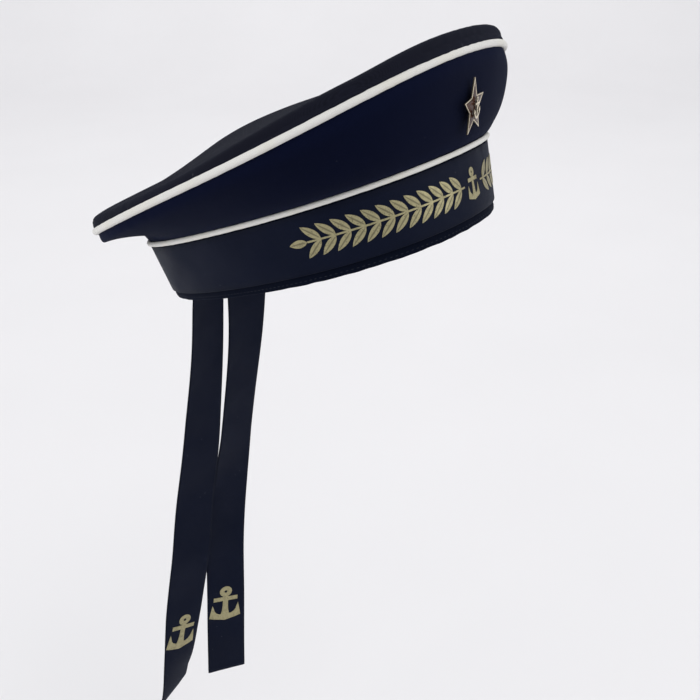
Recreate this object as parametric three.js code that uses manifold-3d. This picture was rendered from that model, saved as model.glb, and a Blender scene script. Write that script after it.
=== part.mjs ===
// A sailor cap as it is worn: a soft crown with a raised front, a straight band, two white pipings,
// a cap ribbon whose two ends hang at the back, and an enamelled star badge pinned to the front.
// Millimetres. Front is -Y, the wearer's left is +X and +Z is up. The origin is the middle of the head
// opening. The cap leans back on the head, and the ribbon's ends hang straight down.
import * as THREE from "three";
import { mergeVertices } from "three/addons/utils/BufferGeometryUtils.js";
import Module from "manifold-3d";

const wasm = await Module();
wasm.setup();

// Driving dimensions

const LEAN_BACK = THREE.MathUtils.degToRad(19);
const CLEARANCE = 0.3;
const AROUND = 80;

// An oval seen from above: half its length, half its width, how far its middle lies behind the cap's,
// how square it is (2 is an ellipse), and how much wider it is in front than behind.
const BAND_FOOT = { length: 102, width: 84.5, back: 0, square: 2.18, front: 0.06 };
const LOWER_SEAM = { length: 106.5, width: 93.6, back: -1, square: 2.18, front: 0.06 };
const CROWN_RIM = { length: 125.3, width: 119.3, back: 2.5, square: 2.4, front: 0.09 };

// The height of the lower seam falls a little to the back.
const SEAM_HEIGHT = 38;
const SEAM_FALL = 0.03;

// The height of the crown's rim: at the middle, its fall to the back for each millimetre, and how far
// the two sides, the front and the back hang under that slope.
const RIM = { height: 73.7, fall: 0.15, sides: 9.4, front: 2.2, back: 6 };

const LOWER_PIPING_RADIUS = 1.45;
const UPPER_PIPING_RADIUS = 2.05;
const PIPING_SIDES = 8;

const BAND_WALL = 2.5;
const BAND_UNDER_PIPING = 1.2;
const HEM = 5;

const RIBBON_WALL = 1;
const RIBBON_WIDTH = 31;
const RIBBON_TOP = 2.4;

const CLOTH_WALL = 2;

// How far the crown wall's two edges and the top panel's edge lie in from the middle of their piping,
// and how far above or below it.
const WALL_FOOT_IN = 1.2;
const WALL_FOOT_UP = 2.65;
const WALL_HEAD_IN = 1.2;
const WALL_HEAD_DOWN = 2.65;
const TOP_EDGE_IN = 1.2;
const TOP_EDGE_UP = 2.15;
const TOP_STEP = 0.004;

// The two tables below hold values for the front, the two front corners, the sides and the back. The
// corners are where the sine of the angle round the cap has this size.
const CORNER = 0.8;

// The crown's wall between the two pipings, as offsets from the straight line between them. t runs from
// the lower seam to the rim.
const WALL_SWELL = [
  { t: 0.0, front: 0, corner: 0, side: 0, back: 0 },
  { t: 0.12, front: 2.4, corner: 3.6, side: 1.4, back: -4.5 },
  { t: 0.3, front: 3.6, corner: 6.3, side: 2.6, back: -6 },
  { t: 0.55, front: 3.8, corner: 6.6, side: 3.2, back: -2.6 },
  { t: 0.8, front: 3.2, corner: 5, side: 3, back: 1.4 },
  { t: 0.92, front: 2.2, corner: 2.8, side: 2.2, back: 4 },
  { t: 0.97, front: 1.2, corner: 1.4, side: 1.2, back: 4.2 },
  { t: 1.0, front: 0, corner: 0, side: 0, back: 0 },
];

// The top panel, from its rim to its middle: the share of the way out, how far it rises over the sheet
// that the rim spans, and how far its roll leans out over the piping in front and behind.
const TOP_RISE = [
  { out: 1.0, front: 0, corner: 0, side: 0, back: 0, lean: 0 },
  { out: 0.992, front: 6.8, corner: 5.4, side: 2.2, back: 4.6, lean: 2.4 },
  { out: 0.965, front: 9.2, corner: 7.4, side: 3.2, back: 6.6, lean: 1.6 },
  { out: 0.92, front: 8.5, corner: 7.2, side: 3.8, back: 6.9, lean: 0.5 },
  { out: 0.86, front: 7, corner: 6.4, side: 4.4, back: 6, lean: 0 },
  { out: 0.72, front: 5, corner: 4.8, side: 3.6, back: 4.5, lean: 0 },
  { out: 0.5, front: 6.9, corner: 6.8, side: 6.4, back: 4.9, lean: 0 },
  { out: 0.28, front: 10.4, corner: 10.4, side: 10.4, back: 9.3, lean: 0 },
  { out: 0.0, front: 13.3, corner: 13.3, side: 13.3, back: 13.3, lean: 0 },
];
const TOP_PEAK_BACK = 28;

// The badge: a five-pointed star with a raised rim round its enamel, a small anchor in relief on it,
// and a post through the wall to a round plate behind it.
const STAR = { radius: 15.5, waist: 0.44, plate: 0.5, rim: 0.5, rimWidth: 0.7 };
const ENAMEL = { edge: 0.2, peak: 1 };
const POST = { radius: 1.1, plateRadius: 6, plate: 1, sides: 16, hole: 12 };

// Where the badge sits on the wall: up is like t above, aside is toward the wearer's right, turn is how many
// degrees it faces to the left of square, and the star's back stands off the cloth. The slope of the cloth
// there is found over a small step each way. The post is longer by slack, since its plate is turned too.
const BADGE = { up: 0.46, aside: 6.5, turn: 8, standoff: 1.8, slack: 0.8, step: 0.05 };

// The anchor's arms are an arc of a circle as wide as the anchor. bow is the half turn less what is left
// off at each tip. Each fluke is a triangle round a tip of the arms.
const ANCHOR = { height: 11.5, width: 8.6, ring: 1.4, eye: 0.7, line: 1.2, thick: 0.6, bow: 0.05 * Math.PI };
const STOCK = { width: 5.8, line: 1, underRing: 0.3 };
const FLUKE = [
  { out: 4.9, up: -1.1 },
  { out: 4.2, up: 1.4 },
  { out: 2.1, up: -0.6 },
];
const ARC_SEGMENTS = 6;

// The ribbon's two hanging ends. Each row is a station below the band's lower edge: how far the end has
// swung back and to the wearer's left by then, and how far it has turned to face the wearer's right, in
// degrees. middle is the end's place to the wearer's left at the band, and slant is how much shorter its
// left edge is cut.
const ENDS = {
  ribbon_end_right: {
    middle: 3,
    slant: 15,
    rows: [
      { drop: 0, back: 0, left: 0, turn: 0 },
      { drop: 60, back: 3, left: -2.5, turn: 5 },
      { drop: 133, back: 12, left: -5, turn: 19 },
      { drop: 200, back: 24, left: -6, turn: 27 },
      { drop: 240, back: 29.5, left: -7.5, turn: 29 },
      { drop: 300, back: 40, left: -9.5, turn: 25 },
      { drop: 384, back: 51.5, left: -15.5, turn: 17 },
    ],
  },
  ribbon_end_left: {
    middle: 35,
    slant: 0,
    rows: [
      { drop: 0, back: 0, left: 0, turn: -4 },
      { drop: 60, back: 3, left: -0.5, turn: 0 },
      { drop: 133, back: 12, left: -4, turn: 4 },
      { drop: 165, back: 17, left: -5, turn: 11 },
      { drop: 210, back: 24, left: -6.5, turn: 21 },
      { drop: 260, back: 29, left: -7, turn: 26 },
      { drop: 373, back: 34, left: -8.5, turn: 28 },
    ],
  },
};
const END_ACROSS = 4;
const END_STATIONS = 24;

// Above those stations the end lies on the band, up to a height, in a few more. It turns from lying to
// hanging over a short fold at the band's lower edge, and the band's curve fades out of it further down.
const END_TOP = 31;
const END_ON_BAND = 5;
const END_FOLD = 2;
const CURVE_FADES_OVER = 70;

// Materials

const cloth = new THREE.MeshStandardMaterial({ color: 0x14161f, roughness: 0.92 });
const topCloth = new THREE.MeshStandardMaterial({ color: 0x171a22, roughness: 0.92 });
const bandCloth = new THREE.MeshStandardMaterial({ color: 0x10121a, roughness: 0.9 });
const satin = new THREE.MeshStandardMaterial({ color: 0x161a26, roughness: 0.5 });
const piping = new THREE.MeshStandardMaterial({ color: 0xe9e6e0, roughness: 0.85 });
const gilt = new THREE.MeshStandardMaterial({ color: 0xd9b978, roughness: 0.3, metalness: 1 });
const enamel = new THREE.MeshStandardMaterial({ color: 0x8a2a20, roughness: 0.2 });
const steel = new THREE.MeshStandardMaterial({ color: 0xb9b4a6, roughness: 0.4, metalness: 1 });

// Shared geometry

const mix = (a, b, t) => a + (b - a) * t;

// The value of a table's column at a place along its key column, on a smooth curve through the rows.
function tableValue(rows, key, column, at) {
  const rising = rows[0][key] < rows[rows.length - 1][key];
  const ordered = rising ? rows : [...rows].reverse();
  const last = ordered.length - 1;
  let i = 0;
  while (i < last - 1 && at > ordered[i + 1][key]) {
    i += 1;
  }
  const slope = (j) => {
    const a = ordered[Math.max(j - 1, 0)];
    const b = ordered[Math.min(j + 1, last)];
    return (b[column] - a[column]) / (b[key] - a[key]);
  };
  const [a, b] = [ordered[i], ordered[i + 1]];
  const span = b[key] - a[key];
  const t = THREE.MathUtils.clamp((at - a[key]) / span, 0, 1);
  const fromA = a[column] * (1 + 2 * t) * (1 - t) ** 2 + slope(i) * span * t * (1 - t) ** 2;
  const fromB = b[column] * t * t * (3 - 2 * t) - slope(i + 1) * span * t * t * (1 - t);
  return fromA + fromB;
}

// The same for a table with columns round the cap, at an angle round it.
function roundValue(rows, key, at, angle) {
  const ahead = -Math.sin(angle);
  const front = THREE.MathUtils.smoothstep(ahead, CORNER, 1);
  const corner = THREE.MathUtils.smoothstep(ahead, 0, CORNER) - front;
  const back = THREE.MathUtils.smoothstep(-ahead, 0, 1);
  const shares = { front, corner, back, side: 1 - front - corner - back };
  const parts = Object.entries(shares).map(([name, share]) => share * tableValue(rows, key, name, at));
  return parts.reduce((sum, part) => sum + part);
}

// The oval between two others.
function mixOvals(a, b, t) {
  return Object.fromEntries(Object.keys(a).map((key) => [key, mix(a[key], b[key], t)]));
}

// A point of an oval grown outward by a distance. Angle 0 is the wearer's left, a quarter turn the back.
function ovalPoint(oval, angle, grow = 0) {
  const c = Math.cos(angle);
  const s = Math.sin(angle);
  const r = (Math.abs(c) ** oval.square + Math.abs(s) ** oval.square) ** (-1 / oval.square);
  const x = (oval.width + grow) * c * r * (1 - oval.front * s * r);
  return new THREE.Vector2(x, (oval.length + grow) * s * r + oval.back);
}

const seamHeight = (y) => SEAM_HEIGHT - SEAM_FALL * y;

// The sheet that the crown's rim spans, for a point seen from above.
function rimHeight(x, y) {
  const behind = (y - CROWN_RIM.back) / CROWN_RIM.length;
  const aside = x / CROWN_RIM.width;
  const hang = RIM.sides * aside ** 2 + (behind > 0 ? RIM.back : RIM.front) * behind ** 2;
  return RIM.height - RIM.fall * (y - CROWN_RIM.back) - hang;
}

// A point beside a seam: outward by one distance, level, and up by another.
function seamPoint(angle, out, up) {
  const p = ovalPoint(LOWER_SEAM, angle, out);
  return new THREE.Vector3(p.x, p.y, seamHeight(p.y) + up);
}

function rimPoint(angle, out, up) {
  const p = ovalPoint(CROWN_RIM, angle, out);
  const seam = ovalPoint(CROWN_RIM, angle);
  return new THREE.Vector3(p.x, p.y, rimHeight(seam.x, seam.y) + up);
}

// A closed surface from vertices and triangles.
function surface(points, triangles) {
  const geometry = new THREE.BufferGeometry().setFromPoints(points);
  geometry.setIndex(triangles.flat());
  geometry.computeVertexNormals();
  return geometry;
}

// Two triangles for each cell between two loops of vertices that start at a and b.
function bridge(triangles, a, b, count) {
  for (let j = 0; j < count; j += 1) {
    const k = (j + 1) % count;
    triangles.push([a + j, b + j, b + k], [a + j, b + k, a + k]);
  }
}

// A ring whose section is a closed loop of points, given anticlockwise as seen from the side where the
// angle grows: outward is right and up is up.
function ring(sectionAt) {
  const points = [];
  const triangles = [];
  let sides = 0;
  for (let i = 0; i < AROUND; i += 1) {
    const section = sectionAt((2 * Math.PI * i) / AROUND);
    sides = section.length;
    points.push(...section);
  }
  for (let i = 0; i < AROUND; i += 1) {
    const next = ((i + 1) % AROUND) * sides;
    bridge(triangles, i * sides, next, sides);
  }
  return surface(points, triangles);
}

// A shell whose rows of points are closed loops, and whose first and last rows are single points.
function capShell(rows, first, last) {
  const points = [first, ...rows.flat(), last];
  const triangles = [];
  const lastIndex = points.length - 1;
  const lastRow = 1 + (rows.length - 1) * AROUND;
  for (let j = 0; j < AROUND; j += 1) {
    const k = (j + 1) % AROUND;
    triangles.push([0, 1 + j, 1 + k], [lastIndex, lastRow + k, lastRow + j]);
  }
  for (let i = 0; i < rows.length - 1; i += 1) {
    bridge(triangles, 1 + i * AROUND, 1 + (i + 1) * AROUND, AROUND);
  }
  return surface(points, triangles);
}

function loopOf(pointAt) {
  return Array.from({ length: AROUND }, (_, i) => pointAt((2 * Math.PI * i) / AROUND));
}

// Pieces

function pipingRing(centreAt, radius) {
  return ring((angle) =>
    Array.from({ length: PIPING_SIDES }, (_, i) => {
      const turn = (2 * Math.PI * (i + 0.5)) / PIPING_SIDES;
      return centreAt(angle, radius * Math.cos(turn), radius * Math.sin(turn));
    }),
  );
}

// The band's outer face leans out from its foot to the lower seam.
const BAND_HEAD = {
  ...LOWER_SEAM,
  length: LOWER_SEAM.length - BAND_UNDER_PIPING,
  width: LOWER_SEAM.width - BAND_UNDER_PIPING,
};

function bandPoint(angle, height, out) {
  const p = ovalPoint(mixOvals(BAND_FOOT, BAND_HEAD, height / SEAM_HEIGHT), angle, out);
  return new THREE.Vector3(p.x, p.y, height * (seamHeight(p.y) / SEAM_HEIGHT));
}

function band() {
  const top = SEAM_HEIGHT - Math.sqrt((LOWER_PIPING_RADIUS + CLEARANCE) ** 2 - BAND_UNDER_PIPING ** 2);
  const heights = [0, HEM, top / 2, top];
  return ring((angle) => [
    ...heights.map((h) => bandPoint(angle, h, 0)),
    ...[...heights].reverse().map((h) => bandPoint(angle, h, -BAND_WALL)),
  ]);
}

function ribbonLoop() {
  const heights = [HEM, HEM + RIBBON_WIDTH / 2, SEAM_HEIGHT - RIBBON_TOP];
  return ring((angle) => [
    ...heights.map((h) => bandPoint(angle, h, CLEARANCE + RIBBON_WALL)),
    ...[...heights].reverse().map((h) => bandPoint(angle, h, CLEARANCE)),
  ]);
}

// The middle of the crown's wall: t runs from the lower seam to the rim.
function wallPoint(angle, t, out = 0) {
  const low = seamPoint(angle, -WALL_FOOT_IN, WALL_FOOT_UP);
  const high = rimPoint(angle, -WALL_HEAD_IN, -WALL_HEAD_DOWN);
  const rise = high.z - low.z;
  const reach = Math.hypot(high.x, high.y) - Math.hypot(low.x, low.y);
  const chord = Math.hypot(reach, rise);
  const swell = roundValue(WALL_SWELL, "t", t, angle) + out;
  const p = low.clone().lerp(high, t);
  p.x += (Math.cos(angle) * swell * rise) / chord;
  p.y += (Math.sin(angle) * swell * rise) / chord;
  p.z -= (swell * reach) / chord;
  return p;
}

function wallSection(angle) {
  const steps = WALL_SWELL.map((row) => row.t);
  return [
    ...steps.map((t) => wallPoint(angle, t, CLOTH_WALL / 2)),
    ...[...steps].reverse().map((t) => wallPoint(angle, t, -CLOTH_WALL / 2)),
  ];
}

// A point of the top panel's outer face, from its rim at out 1 to its peak at out 0.
function topPoint(angle, out) {
  const fromSide = THREE.MathUtils.smoothstep(Math.abs(Math.sin(angle)), 0, 1);
  const lean = tableValue(TOP_RISE, "out", "lean", out) * fromSide;
  const edge = ovalPoint(CROWN_RIM, angle, lean - TOP_EDGE_IN);
  const [x, y] = [edge.x * out, mix(TOP_PEAK_BACK, edge.y, out)];
  return new THREE.Vector3(x, y, rimHeight(x, y) + TOP_EDGE_UP + roundValue(TOP_RISE, "out", out, angle));
}

// The same point on the panel's inner face, square to the outer one.
function underTopPoint(angle, out) {
  const p = topPoint(angle, out);
  const [inside, outside] = [Math.max(out - TOP_STEP, 0), Math.min(out + TOP_STEP, 1)];
  const along = topPoint(angle, inside).sub(topPoint(angle, outside));
  const level = Math.hypot(along.x, along.y);
  const inward = new THREE.Vector3((along.x * along.z) / level, (along.y * along.z) / level, -level);
  return p.addScaledVector(inward, CLOTH_WALL / along.length());
}

function crownTop() {
  const outs = TOP_RISE.map((row) => row.out).filter((out) => out > 0);
  const outer = [...outs].reverse().map((out) => loopOf((angle) => topPoint(angle, out)));
  const inner = outs.map((out) => loopOf((angle) => underTopPoint(angle, out)));
  const peak = topPoint(0, 0);
  return capShell([...outer, ...inner], peak, new THREE.Vector3(peak.x, peak.y, peak.z - CLOTH_WALL));
}

// The angle round the band at which its outer face is a distance to the wearer's left, at the back. Each
// step takes off what is left of the error.
function angleAtBack(x, height, out) {
  let angle = Math.PI / 2;
  for (let step = 0; step < 8; step += 1) {
    angle += (bandPoint(angle, height, out).x - x) / BAND_FOOT.width;
  }
  return angle;
}

// One end of the ribbon: it lies on the loop behind the band, then hangs from the band's lower edge.
function ribbonEnd({ middle, slant, rows }) {
  const length = rows[rows.length - 1].drop;
  const lean = new THREE.Matrix4().makeRotationX(-LEAN_BACK);
  const out = 2 * CLEARANCE + RIBBON_WALL;
  const onBand = (x, height, thick) => {
    return bandPoint(angleAtBack(x, height, out), height, out + thick).applyMatrix4(lean);
  };
  const foot = onBand(middle, 0, 0);
  const hanging = (across, drop, thick) => {
    const aside = (across * RIBBON_WIDTH) / 2;
    const place = (column) => tableValue(rows, "drop", column, drop);
    const turn = THREE.MathUtils.degToRad(place("turn"));
    const curve = (onBand(middle + aside, 0, 0).y - foot.y) * Math.exp(-drop / CURVE_FADES_OVER);
    const atCut = THREE.MathUtils.smoothstep(drop, length - 3 * slant - 1, length);
    return new THREE.Vector3(
      foot.x + place("left") + aside * Math.cos(turn) + thick * Math.sin(turn),
      foot.y + place("back") - aside * Math.sin(turn) + thick * Math.cos(turn) + curve,
      foot.z - drop + ((slant * (1 + across)) / 2) * atCut,
    );
  };
  const rowsOf = (thick) => {
    const made = [];
    for (let i = 0; i < END_ON_BAND; i += 1) {
      const height = mix(END_TOP, END_FOLD, i / END_ON_BAND);
      made.push(acrossRibbon((across) => onBand(middle + (across * RIBBON_WIDTH) / 2, height, thick)));
    }
    for (let i = 0; i <= END_STATIONS; i += 1) {
      const drop = mix(END_FOLD, length, i / END_STATIONS);
      made.push(acrossRibbon((across) => hanging(across, drop, thick)));
    }
    return made;
  };
  return strip(rowsOf(RIBBON_WALL), rowsOf(0));
}

function acrossRibbon(pointAt) {
  return Array.from({ length: END_ACROSS + 1 }, (_, j) => pointAt((2 * j) / END_ACROSS - 1));
}

// A strip between its outer and inner faces, given row by row from its top.
function strip(outer, inner) {
  const loops = outer.map((row, i) => [...row, ...[...inner[i]].reverse()]);
  const sides = loops[0].length;
  const triangles = [];
  for (let i = 0; i < loops.length - 1; i += 1) {
    bridge(triangles, (i + 1) * sides, i * sides, sides);
  }
  const end = (loops.length - 1) * sides;
  for (let j = 0; j < sides / 2 - 1; j += 1) {
    const k = sides - 1 - j;
    triangles.push([j, k - 1, j + 1], [j, k, k - 1]);
    triangles.push([end + j, end + j + 1, end + k - 1], [end + j, end + k - 1, end + k]);
  }
  return surface(loops.flat(), triangles);
}

// The badge is made flat, facing +Z with its top to +Y, and then set on the wall. The star grown by a
// distance on all its edges is the same star drawn larger, since they all lie equally far from its middle.
function starCorners(grow) {
  const turn = Math.PI / 5;
  const inner = STAR.waist * STAR.radius;
  const edge = Math.hypot(STAR.radius - inner * Math.cos(turn), inner * Math.sin(turn));
  const scale = 1 + grow / ((STAR.radius * inner * Math.sin(turn)) / edge);
  return Array.from({ length: 10 }, (_, i) => {
    const reach = (i % 2 ? inner : STAR.radius) * scale;
    const angle = Math.PI / 2 + i * turn;
    return new THREE.Vector2(reach * Math.cos(angle), reach * Math.sin(angle));
  });
}

function extruded(shape, depth, from) {
  const settings = { depth, bevelEnabled: false, curveSegments: ARC_SEGMENTS };
  return new THREE.ExtrudeGeometry(shape, settings).translate(0, 0, from);
}

function solidOf(geometry) {
  const bare = geometry.clone();
  bare.deleteAttribute("normal");
  bare.deleteAttribute("uv");
  const merged = mergeVertices(bare, 1e-4);
  const vertProperties = new Float32Array(merged.attributes.position.array);
  const triVerts = new Uint32Array(merged.index.array);
  return new wasm.Manifold(new wasm.Mesh({ numProp: 3, vertProperties, triVerts }));
}

function geometryOf(solid) {
  const mesh = solid.getMesh();
  const geometry = new THREE.BufferGeometry();
  geometry.setAttribute("position", new THREE.BufferAttribute(new Float32Array(mesh.vertProperties), 3));
  geometry.setIndex([...mesh.triVerts]);
  geometry.computeVertexNormals();
  return geometry;
}

function starBody() {
  const whole = solidOf(extruded(new THREE.Shape(starCorners(0)), STAR.plate + STAR.rim, 0));
  const floor = new THREE.Shape(starCorners(-STAR.rimWidth));
  const pocket = solidOf(extruded(floor, 2 * STAR.rim, STAR.plate));
  return geometryOf(whole.subtract(pocket));
}

// The enamel rises to a blunt peak in five ridges.
function starEnamel() {
  const corners = starCorners(-STAR.rimWidth - CLEARANCE);
  const base = STAR.plate + CLEARANCE;
  const low = corners.map((p) => new THREE.Vector3(p.x, p.y, base));
  const edge = corners.map((p) => new THREE.Vector3(p.x, p.y, base + ENAMEL.edge));
  const [under, peak] = [new THREE.Vector3(0, 0, base), new THREE.Vector3(0, 0, base + ENAMEL.peak)];
  const points = [...low, ...edge, under, peak];
  const triangles = [];
  bridge(triangles, 10, 0, 10);
  for (let i = 0; i < 10; i += 1) {
    const k = (i + 1) % 10;
    triangles.push([20, k, i], [21, 10 + i, 10 + k]);
  }
  return surface(points, triangles);
}

// A plain anchor: a ring, a shank with a straight stock, and two curved arms with flukes.
function anchorRelief() {
  const { height, width, ring: ringRadius, eye, line, thick, bow } = ANCHOR;
  const foot = -height / 2;
  const ringAt = height / 2 - ringRadius;
  const underRing = ringAt - ringRadius;
  const flat = (corners) => {
    const points = corners.map(([x, y]) => new THREE.Vector2(x, y));
    return extruded(new THREE.Shape(points), thick, 0);
  };
  const bar = (halfWidth, low, high) => {
    return flat([[-halfWidth, low], [halfWidth, low], [halfWidth, high], [-halfWidth, high]]);
  };
  const loop = new THREE.Shape().absarc(0, ringAt, ringRadius, 0, 2 * Math.PI);
  loop.holes.push(new THREE.Path().absarc(0, ringAt, eye, 0, 2 * Math.PI));
  const armsAt = foot + width / 2;
  const arms = new THREE.Shape().absarc(0, armsAt, width / 2, Math.PI + bow, 2 * Math.PI - bow);
  arms.absarc(0, armsAt, width / 2 - line, 2 * Math.PI - bow, Math.PI + bow, true);
  const fluke = (hand) => flat(FLUKE.map(({ out, up }) => [hand * out, armsAt + up]));
  const parts = [
    extruded(loop, thick, 0),
    extruded(arms, thick, 0),
    bar(line / 2, foot + line / 2, underRing + line / 2),
    bar(STOCK.width / 2, underRing - STOCK.underRing - STOCK.line, underRing - STOCK.underRing),
    fluke(-1),
    fluke(1),
  ];
  return geometryOf(parts.map(solidOf).reduce((whole, part) => whole.add(part)));
}

function badgePost(behind) {
  const stem = new THREE.CylinderGeometry(POST.radius, POST.radius, behind, POST.sides).rotateX(Math.PI / 2);
  const plate = new THREE.CylinderGeometry(POST.plateRadius, POST.plateRadius, POST.plate, POST.sides);
  plate.rotateX(Math.PI / 2).translate(0, 0, -behind);
  return geometryOf(solidOf(stem.translate(0, 0, -behind / 2)).add(solidOf(plate)));
}

// The place of the badge on the crown's wall: +Z points out of the cloth and +Y up along it.
function badgePlace() {
  const { up: t, aside, turn, step } = BADGE;
  const front = -Math.PI / 2 - aside / CROWN_RIM.length;
  const at = (angle, height) => wallPoint(angle, height, CLOTH_WALL / 2);
  const up = at(front, t + step).sub(at(front, t - step)).normalize();
  const left = at(front + step, t).sub(at(front - step, t)).normalize();
  const out = left.cross(up).normalize();
  const place = new THREE.Matrix4().makeBasis(up.clone().cross(out), up, out).setPosition(at(front, t));
  return place.multiply(new THREE.Matrix4().makeRotationY(THREE.MathUtils.degToRad(turn)));
}

const cap = new THREE.Group();
const worn = new THREE.Group();
worn.rotation.x = -LEAN_BACK;
cap.add(worn);

function addPiece(parent, name, geometry, material) {
  const mesh = new THREE.Mesh(geometry, material);
  mesh.name = name;
  parent.add(mesh);
  return mesh;
}

const badge = new THREE.Group();
badge.applyMatrix4(badgePlace());
worn.add(badge);
const postLength = BADGE.standoff + CLOTH_WALL + CLEARANCE + POST.plate + BADGE.slack;
const holeRadius = POST.radius + CLEARANCE;
const hole = new THREE.CylinderGeometry(holeRadius, holeRadius, POST.hole, POST.sides);
hole.rotateX(Math.PI / 2).applyMatrix4(badge.matrix);
const drilledWall = geometryOf(solidOf(ring(wallSection)).subtract(solidOf(hole)));
const anchorAt = BADGE.standoff + STAR.plate + ENAMEL.peak + 2 * CLEARANCE;

addPiece(worn, "band", band(), bandCloth);
addPiece(worn, "ribbon_loop", ribbonLoop(), satin);
addPiece(worn, "lower_piping", pipingRing(seamPoint, LOWER_PIPING_RADIUS), piping);
addPiece(worn, "crown_wall", drilledWall, cloth);
addPiece(worn, "upper_piping", pipingRing(rimPoint, UPPER_PIPING_RADIUS), piping);
addPiece(worn, "crown_top", crownTop(), topCloth);
addPiece(badge, "star_body", starBody(), gilt).position.z = BADGE.standoff;
addPiece(badge, "star_enamel", starEnamel(), enamel).position.z = BADGE.standoff;
addPiece(badge, "star_anchor", anchorRelief(), gilt).position.z = anchorAt;
addPiece(badge, "badge_post", badgePost(postLength), steel).position.z = BADGE.standoff - CLEARANCE;
for (const [name, end] of Object.entries(ENDS)) {
  addPiece(cap, name, ribbonEnd(end), satin);
}

export default cap;
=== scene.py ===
"""A sailor cap as it is worn: navy cloth, white piping, a printed ribbon and a star badge.

Front is -Y, the wearer's left is +X and +Z is up. Sizes are in metres. The cap leans back on the head.
"""

import contextlib
import functools
import math

import bmesh
import bpy
import numpy as np
from mathutils import Matrix, Vector, noise
from mathutils.bvhtree import BVHTree


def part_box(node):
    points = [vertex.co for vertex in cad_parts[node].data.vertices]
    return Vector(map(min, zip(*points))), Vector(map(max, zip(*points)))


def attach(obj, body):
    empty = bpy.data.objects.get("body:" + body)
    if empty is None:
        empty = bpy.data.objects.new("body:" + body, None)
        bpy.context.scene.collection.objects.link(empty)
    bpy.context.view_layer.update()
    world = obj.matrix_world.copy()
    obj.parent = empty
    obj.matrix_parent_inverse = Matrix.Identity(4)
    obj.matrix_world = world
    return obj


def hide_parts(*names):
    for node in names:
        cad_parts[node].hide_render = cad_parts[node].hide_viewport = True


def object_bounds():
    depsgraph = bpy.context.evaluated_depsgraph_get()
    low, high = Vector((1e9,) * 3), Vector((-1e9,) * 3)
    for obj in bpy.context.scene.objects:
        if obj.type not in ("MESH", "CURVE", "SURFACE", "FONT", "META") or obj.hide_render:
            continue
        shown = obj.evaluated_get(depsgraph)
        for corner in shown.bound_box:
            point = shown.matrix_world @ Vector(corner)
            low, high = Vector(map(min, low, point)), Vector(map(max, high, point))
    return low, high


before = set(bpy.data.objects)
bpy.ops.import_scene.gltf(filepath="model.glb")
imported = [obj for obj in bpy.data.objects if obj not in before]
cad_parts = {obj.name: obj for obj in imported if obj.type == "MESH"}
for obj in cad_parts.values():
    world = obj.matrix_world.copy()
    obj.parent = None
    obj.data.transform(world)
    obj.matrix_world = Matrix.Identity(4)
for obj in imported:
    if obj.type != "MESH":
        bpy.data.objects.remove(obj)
CAD_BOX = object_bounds()

bl_info = {
    "name": "Sailor Cap",
    "version": (1, 0, 0),
    "blender": (4, 5, 0),
    "location": "View3D > Sidebar > Sailor Cap",
    "description": "Dresses a sailor cap with cloth, piping, a printed ribbon and a star badge",
    "category": "Object",
}

MM = 0.001
LEAN_BACK = math.radians(19)
TO_CAP = Matrix.Rotation(LEAN_BACK, 4, "X")
TO_WORLD = Matrix.Rotation(-LEAN_BACK, 4, "X")

# The photograph's camera: where it stands, its turn as right, up and back, and its lens for a 36 mm frame.
CAMERA_PLACE = (-0.50095, -0.32015, 0.21134)
CAMERA_RIGHT = (0.51961, -0.854398, -0.003002)
CAMERA_UP = (0.363053, 0.217611, 0.906001)
CAMERA_BACK = (-0.773433, -0.471857, 0.423264)
CAMERA_LENS = 53.456


# Settings


def size(name, description, default, low=0.0, high=1.0):
    return bpy.props.FloatProperty(
        name=name, description=description, default=default, min=low, max=high, unit="LENGTH", precision=5
    )


def share(name, description, default, high=1.0):
    return bpy.props.FloatProperty(
        name=name, description=description, default=default, min=0.0, max=high, subtype="FACTOR"
    )


def paint(name, description, default):
    return bpy.props.FloatVectorProperty(
        name=name, description=description, default=default, size=3, min=0.0, max=1.0, subtype="COLOR"
    )


def power(name, description, default):
    return bpy.props.FloatProperty(
        name=name, description=description, default=default, min=0.0, max=500.0, unit="POWER"
    )


class CapClothSettings(bpy.types.PropertyGroup):
    crown_colour: paint("Crown colour", "Navy of the crown's cloth", (0.0016, 0.0030, 0.0135))
    # The top panel's navy is lighter and greyer than the crown's as painted light, for the light that falls
    # on the top.
    top_colour: paint("Top colour", "Navy of the top panel, a little faded", (0.0062, 0.0068, 0.0120))
    band_colour: paint("Band colour", "Navy of the band's cloth", (0.0019, 0.0034, 0.0098))
    twill_pitch: size("Twill pitch", "Distance between the twill's ridges", 0.00055, 0.0001, 0.005)
    pucker_depth: size("Pucker depth", "How deep the cloth puckers beside a seam", 0.00022, 0.0, 0.002)
    fade: share("Fade", "How much the cloth's colour varies", 0.3)
    thread_colour: paint("Thread colour", "Dark navy of the sewing thread", (0.0052, 0.0075, 0.0160))


class CapPipingSettings(bpy.types.PropertyGroup):
    colour: paint("Piping colour", "White of the piping", (0.70, 0.69, 0.66))
    unevenness: size("Unevenness", "How much the piping's thickness varies", 0.00009, 0.0, 0.001)


class CapRibbonSettings(bpy.types.PropertyGroup):
    colour: paint("Ribbon colour", "Navy of the ribbon", (0.0014, 0.0036, 0.0140))
    rib_pitch: size("Rib pitch", "Distance between the ribbon's cross ribs", 0.0007, 0.0001, 0.005)
    width: size("Width", "Width of the ribbon", 0.031, 0.01, 0.06)
    thinner: size("Thinner", "How much thinner the ribbon is than its solid", 0.0004, 0.0, 0.0008)
    selvedge: size("Selvedge", "Width of the ribbon's firm edge", 0.0011, 0.0, 0.005)
    ripple: size("Ripple", "Depth of the soft waves in the hanging ends", 0.0007, 0.0, 0.005)


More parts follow.
